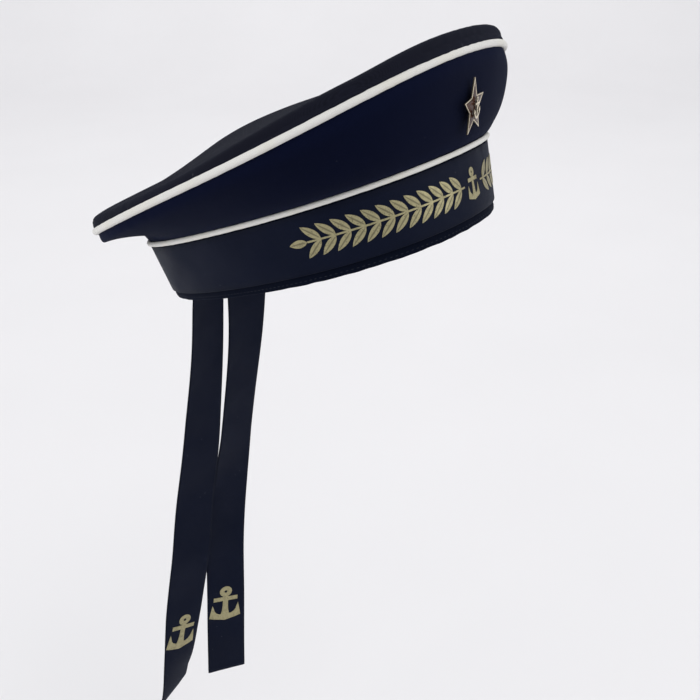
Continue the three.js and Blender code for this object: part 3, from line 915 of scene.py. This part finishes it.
def tack_places(end):
    """Places for the rows of stitches across a hanging end's outer face, near its top."""
    tree = tree_of(end)
    points = read_points(end)
    top = points[:, 2].max()
    near_top = points[points[:, 2] > top - 12 * MM]
    low, high = near_top[:, 0].min() + TACK_ROWS["margin"], near_top[:, 0].max() - TACK_ROWS["margin"]
    count = int((high - low) / TACK_ROWS["pitch"]) + 1
    places = []
    for drop in TACK_ROWS["drops"]:
        for x in np.linspace(low, high, count):
            hit, normal, index, distance = tree.ray_cast(Vector((x, 0.4, top - drop)), Vector((0, -1, 0)))
            if hit is not None:
                places.append((hit, Vector((1, 0, 0)), normal if normal.y > 0 else -normal))
    return places


def sew(name, places, length, material, slot):
    """Copies one stitch to each place, given as its middle, the way it runs and the way it faces."""
    pick_nothing()
    bpy.ops.mesh.primitive_uv_sphere_add(segments=8, ring_count=6, radius=1)
    stitch = bpy.context.object
    with edit_mode():
        bpy.ops.transform.rotate(value=math.pi / 2, orient_axis="Y", center_override=(0, 0, 0))
        bpy.ops.transform.resize(value=(length / 2, STITCH_WIDTH / 2, STITCH_WIDTH / 3))
    points = read_points(stitch)
    points[:, 2] -= STITCH_WIDTH / 3 * (points[:, 0] / (length / 2)) ** 2
    write_points(stitch, points)
    copies = []
    for middle, run, out in places:
        side = out.cross(run).normalized()
        turn = Matrix((run, side, run.cross(side))).transposed().to_4x4()
        copy = copy_mesh(stitch.data, name)
        copy.data.transform(Matrix.Translation(middle) @ turn)
        copies.append(copy)
    bpy.data.objects.remove(stitch)
    row = join_flat(copies, name)
    smooth(row)
    finish_piece(row, material, slot)


# Piping


class CAP_OT_piping(bpy.types.Operator):
    """Makes the two white pipings, full and a little uneven"""

    bl_idname = "cap.piping"
    bl_label = "Piping"

    def execute(self, context):
        settings = context.scene.cap_piping
        white = white_piping("White piping cloth", settings.colour)
        for node, seed in (("lower_piping", 2), ("upper_piping", 7)):
            piping = copy_of(node, node + "_cord")
            smoothed(piping)
            angle = around(read_points(piping))[0]
            normals = read_normals(piping)
            pucker(piping, angle, np.ones(len(angle)), settings.unevenness, waves=30, seed=seed)
            turn = np.arctan2(*turned(normals, TO_CAP)[:, [2, 0]].T)
            set_uv(piping, angle * WRAP_RADIUS, np.abs(turn) * 2.4 * MM, wraps=math.tau * WRAP_RADIUS)
            finish_piece(piping, white, "piping_cloth", node)
        return {"FINISHED"}


# Ribbon

# How far each hanging end is turned about its own middle, in degrees, at each drop in metres.
END_TWISTS = {
    "ribbon_end_right": [(0.320, 0), (0.384, 14)],
    "ribbon_end_left": [(0.170, 0), (0.290, -9), (0.373, -9)],
}
END_LEVELS = 59


class CAP_OT_ribbon(bpy.types.Operator):
    """Makes the ribbon round the band and its two hanging ends"""

    bl_idname = "cap.ribbon"
    bl_label = "Ribbon"

    def execute(self, context):
        settings = context.scene.cap_ribbon
        cloth = navy_ribbon("Navy ribbed ribbon", settings.colour, settings.rib_pitch, sheen=0.03)
        thread = sewing_thread("Navy sewing thread", context.scene.cap_cloth.thread_colour)
        loop = ribbon_copy("ribbon_loop", settings.thinner)
        angle, along = wrap_cloth(loop)
        from_top = far_edge(angle, along) - along
        set_attribute(loop, "selvedge", beside(np.minimum(along, from_top), settings.selvedge))
        pucker(loop, angle, beside(from_top, 6 * MM), 0.18 * MM, waves=34, seed=12)
        turn_uv(loop)
        finish_piece(loop, cloth, "ribbon_satin", "ribbon_loop")
        for node, seed in (("ribbon_end_right", 21), ("ribbon_end_left", 33)):
            end = hang_end(node, seed, settings)
            finish_piece(end, cloth, "ribbon_satin", node)
            stitches = node.replace("ribbon", "tack_stitches")
            sew(stitches, tack_places(end), TACK_ROWS["length"], thread, "ribbon_satin")
        return {"FINISHED"}


def ribbon_copy(node, thinner):
    """A copy of a ribbon's solid with square edges, thinned by half an amount from each face."""
    piece = copy_of(node, node + "_cloth")
    crease(piece, 50, 0.9)
    smoothed(piece)
    write_points(piece, read_points(piece) - read_normals(piece) * thinner / 2)
    return piece


def turn_uv(obj):
    """Turns the UV map a quarter, so that the ribs cross the ribbon."""
    layer = obj.data.uv_layers.active
    values = np.empty(len(obj.data.loops) * 2, dtype=np.float32)
    layer.data.foreach_get("uv", values)
    layer.data.foreach_set("uv", np.ascontiguousarray(values.reshape(-1, 2)[:, ::-1]).ravel())


def hang_end(node, seed, settings):
    """A hanging end with its firm edges, its twist and its soft waves."""
    end = ribbon_copy(node, settings.thinner)
    points = read_points(end)
    drop = points[:, 2].max() - points[:, 2]
    middle, half = end_middle(points, 0)
    across = (points[:, 0] - middle) / half * settings.width / 2
    set_attribute(end, "selvedge", beside(settings.width / 2 - np.abs(across), settings.selvedge))
    sample = np.stack([across * 12, drop * 14, np.full(len(drop), float(seed))], 1)
    depth = settings.ripple * np.clip((drop - 0.05) / 0.1, 0, 1)
    points = twist_end(points, drop, END_TWISTS[node])
    points[:, 1] += ripples(sample, seed) * depth
    write_points(end, points)
    set_uv(end, across, drop)
    return end


def twist_end(points, drop, rows):
    """Turns a hanging end about its own middle line, more or less at each height."""
    angle = np.radians(np.interp(drop, *zip(*rows)))
    middle_x, _ = end_middle(points, 0)
    middle_y, _ = end_middle(points, 1)
    x, y = points[:, 0] - middle_x, points[:, 1] - middle_y
    twisted = points.copy()
    twisted[:, 0] = middle_x + x * np.cos(angle) - y * np.sin(angle)
    twisted[:, 1] = middle_y + x * np.sin(angle) + y * np.cos(angle)
    return twisted


def end_middle(points, axis):
    """The middle and half width of a hanging end along an axis, at each point's height."""
    levels = np.linspace(points[:, 2].min(), points[:, 2].max(), END_LEVELS + 1)
    bins = np.clip(np.digitize(points[:, 2], levels) - 1, 0, END_LEVELS - 1)
    low, high = np.full(END_LEVELS, 1e9), np.full(END_LEVELS, -1e9)
    np.minimum.at(low, bins, points[:, axis])
    np.maximum.at(high, bins, points[:, axis])
    middles = (levels[:-1] + levels[1:]) / 2
    good = high > low
    centre = np.interp(points[:, 2], middles[good], ((low + high) / 2)[good])
    half = np.interp(points[:, 2], middles[good], ((high - low) / 2)[good])
    return centre, half


def declare_sheets(width):
    """Works out the ribbon loop's girth and each hanging end's cloth area, and uses neither."""
    loop = bpy.data.objects["ribbon_loop_cloth"]
    girth = sheet_area(loop) / width
    for side in ("right", "left"):
        end = bpy.data.objects[f"ribbon_end_{side}_cloth"]
        heights = read_points(end)[:, 2]
        length = float(heights.max() - heights.min())
        min(sheet_area(end), width * length)


def sheet_area(obj):
    """Half of a thin sheet's surface, which is the area of its one face."""
    areas = np.empty(len(obj.data.polygons))
    obj.data.polygons.foreach_get("area", areas)
    return float(areas.sum() / 2)


# Badge


class CAP_OT_badge(bpy.types.Operator):
    """Rounds the star badge's edges and gives it gilt, enamel and steel"""

    bl_idname = "cap.badge"
    bl_label = "Badge"

    def execute(self, context):
        settings = context.scene.cap_badge
        # The gilt's sides are darkened as painted shade.
        gilt = gilt_metal("Pale gilt brass", settings.gilt, painted_side_shade=0.9)
        enamel = red_enamel("Brown-red enamel", settings.enamel)
        radius = settings.round_over
        # The anchor's finest edges are too short for more than a quarter of the radius.
        pieces = [
            ("star_body", "star_body_worn", gilt, "gilt_brass", radius, True),
            ("star_enamel", "star_enamel_glaze", enamel, "red_enamel", radius, True),
            ("star_anchor", "star_anchor_relief", gilt, "gilt_brass", radius / 4, False),
        ]
        for node, name, material, slot, rounding, clamped in pieces:
            piece = copy_of(node, name, quads=False)
            with edit_mode():
                bpy.ops.mesh.dissolve_limited(angle_limit=math.radians(1))
            apply_modifier(
                piece, "BEVEL", width=rounding, segments=3, limit_method="ANGLE",
                angle_limit=math.radians(20), use_clamp_overlap=clamped,
            )
            merge_doubles(piece)
            smooth(piece, 35)
            # Painted shade: this share is 1 on faces that turn like the piece's largest face and 0 on its
            # sides; the gilt darkens the sides with it.
            flat = max(piece.data.polygons, key=lambda face: face.area)
            facing = np.abs(read_normals(piece) @ np.array(flat.normal))
            set_attribute(piece, "wear_and_lit_faces", np.clip((facing - 0.35) / 0.4, 0, 1))
            finish_piece(piece, material, slot, node)
        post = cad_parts["badge_post"]
        post.data.materials.clear()
        post.data.materials.append(gilt_metal("Plain post metal", settings.steel, tarnish=0.5))
        return {"FINISHED"}


# Prints

# The middle of each printed anchor, in metres, the way its ribbon runs down there, the ribbon's turn about
# its length, and the print's own turn on the ribbon, in degrees.
ANCHOR_PLACES = {
    "right": {"place": (-0.0069, 0.1400, -0.3468), "down": (-0.100, 0.160, -1.0), "turn": 24.6, "tilt": 4},
    "left": {"place": (0.0272, 0.1221, -0.3343), "down": (-0.012, 0.040, -1.0), "turn": 36.0, "tilt": 3},
}

# The anchor as shares of its height, from its middle. An arm runs from its fluke's tip to the crown, and
# each row is its outer and inner edge. The shank's rows are its height and half its width.
ARM = [
    ((-0.316, -0.020), (-0.314, -0.024)),
    ((-0.340, -0.130), (-0.282, -0.120)),
    ((-0.364, -0.260), (-0.258, -0.205)),
    ((-0.386, -0.400), (-0.210, -0.268)),
    ((-0.262, -0.440), (-0.150, -0.304)),
    ((-0.130, -0.470), (-0.080, -0.318)),
    ((0.0, -0.502), (0.0, -0.318)),
]
SHANK = [(0.215, 0.060), (0.10, 0.062), (-0.06, 0.066), (-0.20, 0.078), (-0.32, 0.105)]
RING = {"up": 0.352, "radius": 0.150, "hole": 0.036}
STOCK = {"up": 0.140, "half_width": 0.295, "half_height": 0.058}

# The leaf border: the ribbon's radius in front, the border's middle height on the cap, where each branch
# starts, its stem's width, and how its leaves stand on it.
LOOP_RADIUS = 0.1035
BORDER_MIDDLE = 0.0222
BRANCH_START = 12.5 * MM
STEM_START = 9.5 * MM
STEM_WIDTH = 1.0 * MM
LEAF_GAP = 0.6 * MM
LEAF_RIB = 0.1 * MM
LEAF_LEAN = math.radians(42)
# A print's back lies this far off the ribbon.
PRINT_GAP = 0.06 * MM


class CAP_OT_prints(bpy.types.Operator):
    """Prints the leaf border on the ribbon's front and an anchor on each hanging end"""

    bl_idname = "cap.prints"
    bl_label = "Gold prints"

    def execute(self, context):
        settings = context.scene.cap_print
        gold = gold_print("Pale gold print", settings.gold)
        anchor = flat_anchor()
        border = leaf_border(settings, anchor)
        lay_on_loop(border, settings.thickness)
        finish_piece(border, gold, "gilt_brass")
        for side, row in ANCHOR_PLACES.items():
            printed = scaled_copy(anchor, "anchor_print_" + side, settings.anchor_height)
            end = bpy.data.objects[f"ribbon_end_{side}_cloth"]
            lay_on_end(printed, end, row, settings.thickness)
            finish_piece(printed, gold, "gilt_brass")
        bpy.data.objects.remove(anchor)
        declare_sheets(context.scene.cap_ribbon.width)
        return {"FINISHED"}


def join_flat(pieces, name):
    pick_nothing()
    for piece in pieces:
        piece.select_set(True)
    bpy.context.view_layer.objects.active = pieces[0]
    bpy.ops.object.join()
    whole = bpy.context.object
    whole.name = whole.data.name = name
    return whole


def plate(x0, x1, y0, y1, across, up):
    """A flat plate cut into a grid."""
    pick_nothing()
    bpy.ops.mesh.primitive_grid_add(x_subdivisions=across, y_subdivisions=up, size=1)
    with edit_mode():
        bpy.ops.transform.resize(value=(x1 - x0, y1 - y0, 1))
        bpy.ops.transform.translate(value=((x0 + x1) / 2, (y0 + y1) / 2, 0))
    return bpy.context.object


def ladder(rungs):
    """A flat strip between pairs of points, one quad from each rung to the next."""
    made = plate(0, 1, 0, 1, len(rungs) - 1, 1)
    points = read_points(made)
    steps = np.rint(points[:, 0] * (len(rungs) - 1)).astype(int)
    for i, step in enumerate(steps):
        points[i, :2] = rungs[step][int(points[i, 1] > 0.5)][:2]
    write_points(made, points)
    return made


def finer(rungs, steps):
    """Rungs between the given ones, on straight lines."""
    made = []
    for (a, b), (c, d) in zip(rungs, rungs[1:]):
        for i in range(steps):
            t = i / steps
            made.append((Vector(a).lerp(Vector(c), t), Vector(b).lerp(Vector(d), t)))
    return made + [(Vector(rungs[-1][0]), Vector(rungs[-1][1]))]


def flat_anchor():
    """An anchor lying flat, one unit high: ring, stock, tapered shank, and arms with broad flukes."""
    pick_nothing()
    bpy.ops.mesh.primitive_circle_add(vertices=32, radius=RING["radius"])
    ring = bpy.context.object
    shrink = RING["hole"] / RING["radius"]
    with edit_mode():
        bpy.ops.mesh.extrude_edges_move()
        bpy.ops.transform.resize(value=(shrink, shrink, 1))
        bpy.ops.mesh.select_all(action="SELECT")
        bpy.ops.transform.translate(value=(0, RING["up"], 0))
    up, wide, tall = STOCK["up"], STOCK["half_width"], STOCK["half_height"]
    pieces = [ring, plate(-wide, wide, up - tall, up + tall, 12, 2)]
    pieces.append(ladder([((-half, y), (half, y)) for y, half in SHANK]))
    for hand in (1, -1):
        pieces.append(ladder(finer([((hand * a, b), (hand * c, d)) for (a, b), (c, d) in ARM], 3)))
    return join_flat(pieces, "flat_anchor")


def scaled_copy(obj, name, scale):
    copy = copy_mesh(obj.data, name)
    write_points(copy, read_points(copy) * scale)
    return copy


def leaf_border(settings, anchor):
    """A flat border along X: two branches of paired leaves that run out from a small anchor."""
    reach = settings.border_reach * math.pi * LOOP_RADIUS
    half = settings.border_height / 2
    pitch = (reach - BRANCH_START) / settings.leaf_pairs
    long, wide = half * 1.42, half * 0.5
    pieces = []
    for hand in (-1, 1):
        for i in range(settings.leaf_pairs):
            for up in (-1, 1):
                pieces.append(flat_leaf(hand, BRANCH_START + pitch * i, LEAF_LEAN * up, long, wide))
        stem = np.linspace(STEM_START, reach, 60)
        pieces.append(ladder([((hand * x, -STEM_WIDTH / 2), (hand * x, STEM_WIDTH / 2)) for x in stem]))
        pieces.append(flat_leaf(hand, reach - STEM_WIDTH / 2, 0.0, long * 0.8, wide))
    pieces.append(scaled_copy(anchor, "border_anchor", settings.border_height * 1.02))
    return join_flat(pieces, "leaf_border_print")


def flat_leaf(hand, foot, turn, long, wide):
    """A pointed leaf with a raised midrib, turned about its foot on the stem, on the branch at one hand."""
    leaf = plate(0, 1, -1, 1, 8, 6)
    points = read_points(leaf)
    along, side = points[:, 0].copy(), points[:, 1].copy()
    set_attribute(leaf, "vein", np.abs(side) < 0.1)
    half = wide / 2 * np.sin(math.pi * np.clip(along, 0.0, 1) ** 0.85) ** 0.8
    x, y = LEAF_GAP + along * long, side * half
    points[:, 0] = hand * (foot + x * math.cos(turn) - y * math.sin(turn))
    points[:, 1] = x * math.sin(turn) + y * math.cos(turn)
    points[:, 2] = LEAF_RIB * (1 - np.abs(side)) * (half > 0.001 * MM)
    write_points(leaf, points)
    merge_doubles(leaf)
    return leaf


def lay_on_loop(border, thickness):
    """Lays a flat print on the ribbon's outer face, centred on the front at the ribbon's mid height."""
    tree = tree_of(bpy.data.objects["ribbon_loop_cloth"])
    angles = np.linspace(-1.6, 1.6, 161)
    path = [outer_face(tree, angle, BORDER_MIDDLE)[0] for angle in angles]
    steps = np.array([(b - a).length for a, b in zip(path, path[1:])])
    arc = np.concatenate([[0], np.cumsum(steps)])
    arc -= np.interp(0.0, angles, arc)
    laid = []
    for x, y, z in read_points(border):
        hit, normal = outer_face(tree, float(np.interp(x, arc, angles)), BORDER_MIDDLE + y)
        laid.append(hit + normal * (PRINT_GAP + z))
    write_points(border, np.array(laid))
    thicken(border, thickness, outward_at)


def outward_at(place):
    """The way out from the cap's middle line at a place."""
    own = TO_CAP @ place
    return TO_WORLD @ Vector((own.x, own.y, 0))


def lay_on_end(anchor, end, row, thickness):
    """Lays a flat print on a hanging end, on the face that looks forward, and gives it its thickness."""
    turn, tilt = math.radians(row["turn"]), math.radians(row["tilt"])
    down = Vector(row["down"]).normalized()
    out = down.cross(Vector((math.cos(turn), -math.sin(turn), 0))).normalized()
    level = out.cross(down)
    across = level * math.cos(tilt) + down * math.sin(tilt)
    down = down * math.cos(tilt) - level * math.sin(tilt)
    clear = 0.03
    tree = tree_of(end)
    laid = []
    for x, y, z in read_points(anchor):
        start = Vector(row["place"]) + across * x - down * y + out * clear
        hit, normal, index, distance = tree.ray_cast(start, -out)
        laid.append((start - out * clear if hit is None else hit) + out * PRINT_GAP)
    write_points(anchor, np.array(laid))
    thicken(anchor, thickness, lambda middle: out)


def thicken(obj, thickness, facing):
    """Turns each face the way that facing gives for its middle, and gives it a thickness that way."""
    pick(obj)
    mesh = bmesh.new()
    mesh.from_mesh(obj.data)
    for face in mesh.faces:
        face.normal_update()
        if face.normal.dot(facing(face.calc_center_median())) < 0:
            face.normal_flip()
    mesh.to_mesh(obj.data)
    mesh.free()
    apply_modifier(obj, "SOLIDIFY", thickness=thickness, offset=1.0)
    smooth(obj, 40)


# Stage

# The floor runs towards the camera and away from it, and bends up into a wall behind the cap.
FLOOR_WIDTH = 14.0
FLOOR_RUN = 12.0
FLOOR_MIDDLE = 2.0
WALL_FOOT = 3.2
WALL_BEND = 1.2

# Each light's place and target, its width, the setting that gives its power, and its share of that.
LIGHTS = {
    "Key light": ((-0.1, -0.9, 1.25), (0.0, 0.0, 0.0), 1.0, "key_watts", 1.0),
    "Front fill light": ((0.5, -1.3, 0.25), (0.0, 0.0, 0.0), 0.9, "fill_watts", 0.4),
    "Side fill light": ((-1.2, 0.75, 0.35), (0.0, 0.0, 0.0), 0.7, "fill_watts", 1.0),
    "Backdrop light": ((1.2, 0.8, 2.6), (4.2, 2.7, 0.2), 3.0, "backdrop_watts", 1.0),
}


class CAP_OT_stage(bpy.types.Operator):
    """Sets the pale floor and wall, the soft lights and the camera"""

    bl_idname = "cap.stage"
    bl_label = "Stage"

    def execute(self, context):
        settings = context.scene.cap_stage
        lay_floor(settings)
        for name, (place, target, width, watts, part) in LIGHTS.items():
            add_light(name, place, target, width, getattr(settings, watts) * part)
        world = bpy.data.worlds.new("Even studio light")
        world.use_nodes = True
        background = world.node_tree.nodes["Background"]
        background.inputs["Color"].default_value = (0.97, 0.98, 1.0, 1)
        background.inputs["Strength"].default_value = settings.ambient
        context.scene.world = world
        place_camera(context.scene)
        context.scene.view_settings.view_transform = "Standard"
        return {"FINISHED"}


def lay_floor(settings):
    material, tree, shader = start_material("Pale studio paper")
    pale = (*settings.floor_colour, 1)
    dim = (*[c * 0.96 for c in settings.floor_colour], 1)
    paper = blend_colour(tree, noise_at(tree, object_position(tree), 3.0, 2.0), pale, dim)
    set_shader(shader, Base_Color=paper, Roughness=0.9, Specular_IOR_Level=0.1)

    pick_nothing()
    bpy.ops.mesh.primitive_grid_add(x_subdivisions=24, y_subdivisions=48, size=1, location=(0, 0, 0))
    floor = bpy.context.object
    floor.name = floor.data.name = "studio_floor"
    points = read_points(floor)
    run = points[:, 1] * FLOOR_RUN + FLOOR_MIDDLE
    arc = np.clip(run - WALL_FOOT, 0, WALL_BEND * math.pi / 2)
    straight = np.clip(run - WALL_FOOT - WALL_BEND * math.pi / 2, 0, None)
    forward = np.minimum(run, WALL_FOOT) + WALL_BEND * np.sin(arc / WALL_BEND)
    rise = WALL_BEND * (1 - np.cos(arc / WALL_BEND)) + straight
    points = np.stack([points[:, 0] * FLOOR_WIDTH, forward, rise], 1)
    away = math.atan2(-CAMERA_BACK[0], -CAMERA_BACK[1])
    points = turned(points, Matrix.Rotation(-away, 3, "Z"))
    points[:, 2] += CAD_BOX[0].z - settings.floor_drop
    write_points(floor, points)
    smooth(floor)
    floor.data.materials.append(material)


def add_light(name, place, target, width, watts):
    light = bpy.data.lights.new(name, "AREA")
    light.shape = "DISK"
    light.size = width
    light.energy = watts
    holder = bpy.data.objects.new(name, light)
    bpy.context.scene.collection.objects.link(holder)
    aim = Vector(target) - Vector(place)
    holder.location = place
    holder.rotation_mode = "QUATERNION"
    holder.rotation_quaternion = aim.to_track_quat("-Z", "Y")


def place_camera(scene):
    data = bpy.data.cameras.new("Photograph view")
    data.lens = CAMERA_LENS
    data.sensor_width = 36.0
    data.clip_start, data.clip_end = 0.01, 50.0
    camera = bpy.data.objects.new("Photograph view", data)
    scene.collection.objects.link(camera)
    turn = Matrix((CAMERA_RIGHT, CAMERA_UP, CAMERA_BACK)).transposed()
    camera.matrix_world = Matrix.Translation(CAMERA_PLACE) @ turn.to_4x4()
    scene.camera = camera


# Panel and registration


class CAP_PT_panel(bpy.types.Panel):
    """Lists the cap's settings and its building steps"""

    bl_idname = "CAP_PT_panel"
    bl_label = "Sailor Cap"
    bl_space_type = "VIEW_3D"
    bl_region_type = "UI"
    bl_category = "Sailor Cap"

    def draw(self, context):
        for group, operators in PANEL_ROWS.items():
            box = self.layout.box()
            settings = getattr(context.scene, group)
            for key in settings.__annotations__:
                box.prop(settings, key)
            for operator in operators:
                box.operator(operator)


SETTINGS = {
    "cap_cloth": CapClothSettings,
    "cap_piping": CapPipingSettings,
    "cap_ribbon": CapRibbonSettings,
    "cap_print": CapPrintSettings,
    "cap_badge": CapBadgeSettings,
    "cap_stage": CapStageSettings,
}
OPERATORS = [
    CAP_OT_stage, CAP_OT_crown, CAP_OT_band, CAP_OT_piping, CAP_OT_ribbon, CAP_OT_badge, CAP_OT_prints
]
PANEL_ROWS = {
    "cap_cloth": ["cap.crown", "cap.band"],
    "cap_piping": ["cap.piping"],
    "cap_ribbon": ["cap.ribbon"],
    "cap_print": ["cap.prints"],
    "cap_badge": ["cap.badge"],
    "cap_stage": ["cap.stage"],
}


def register():
    for name, group in SETTINGS.items():
        bpy.utils.register_class(group)
        setattr(bpy.types.Scene, name, bpy.props.PointerProperty(type=group))
    for operator in OPERATORS:
        bpy.utils.register_class(operator)
    bpy.utils.register_class(CAP_PT_panel)


def unregister():
    bpy.utils.unregister_class(CAP_PT_panel)
    for operator in reversed(OPERATORS):
        bpy.utils.unregister_class(operator)
    for name, group in reversed(SETTINGS.items()):
        delattr(bpy.types.Scene, name)
        bpy.utils.unregister_class(group)


def main():
    register()
    bpy.ops.cap.stage()
    bpy.ops.cap.crown()
    bpy.ops.cap.band()
    bpy.ops.cap.piping()
    bpy.ops.cap.ribbon()
    bpy.ops.cap.badge()
    bpy.ops.cap.prints()


if __name__ == "__main__":
    main()
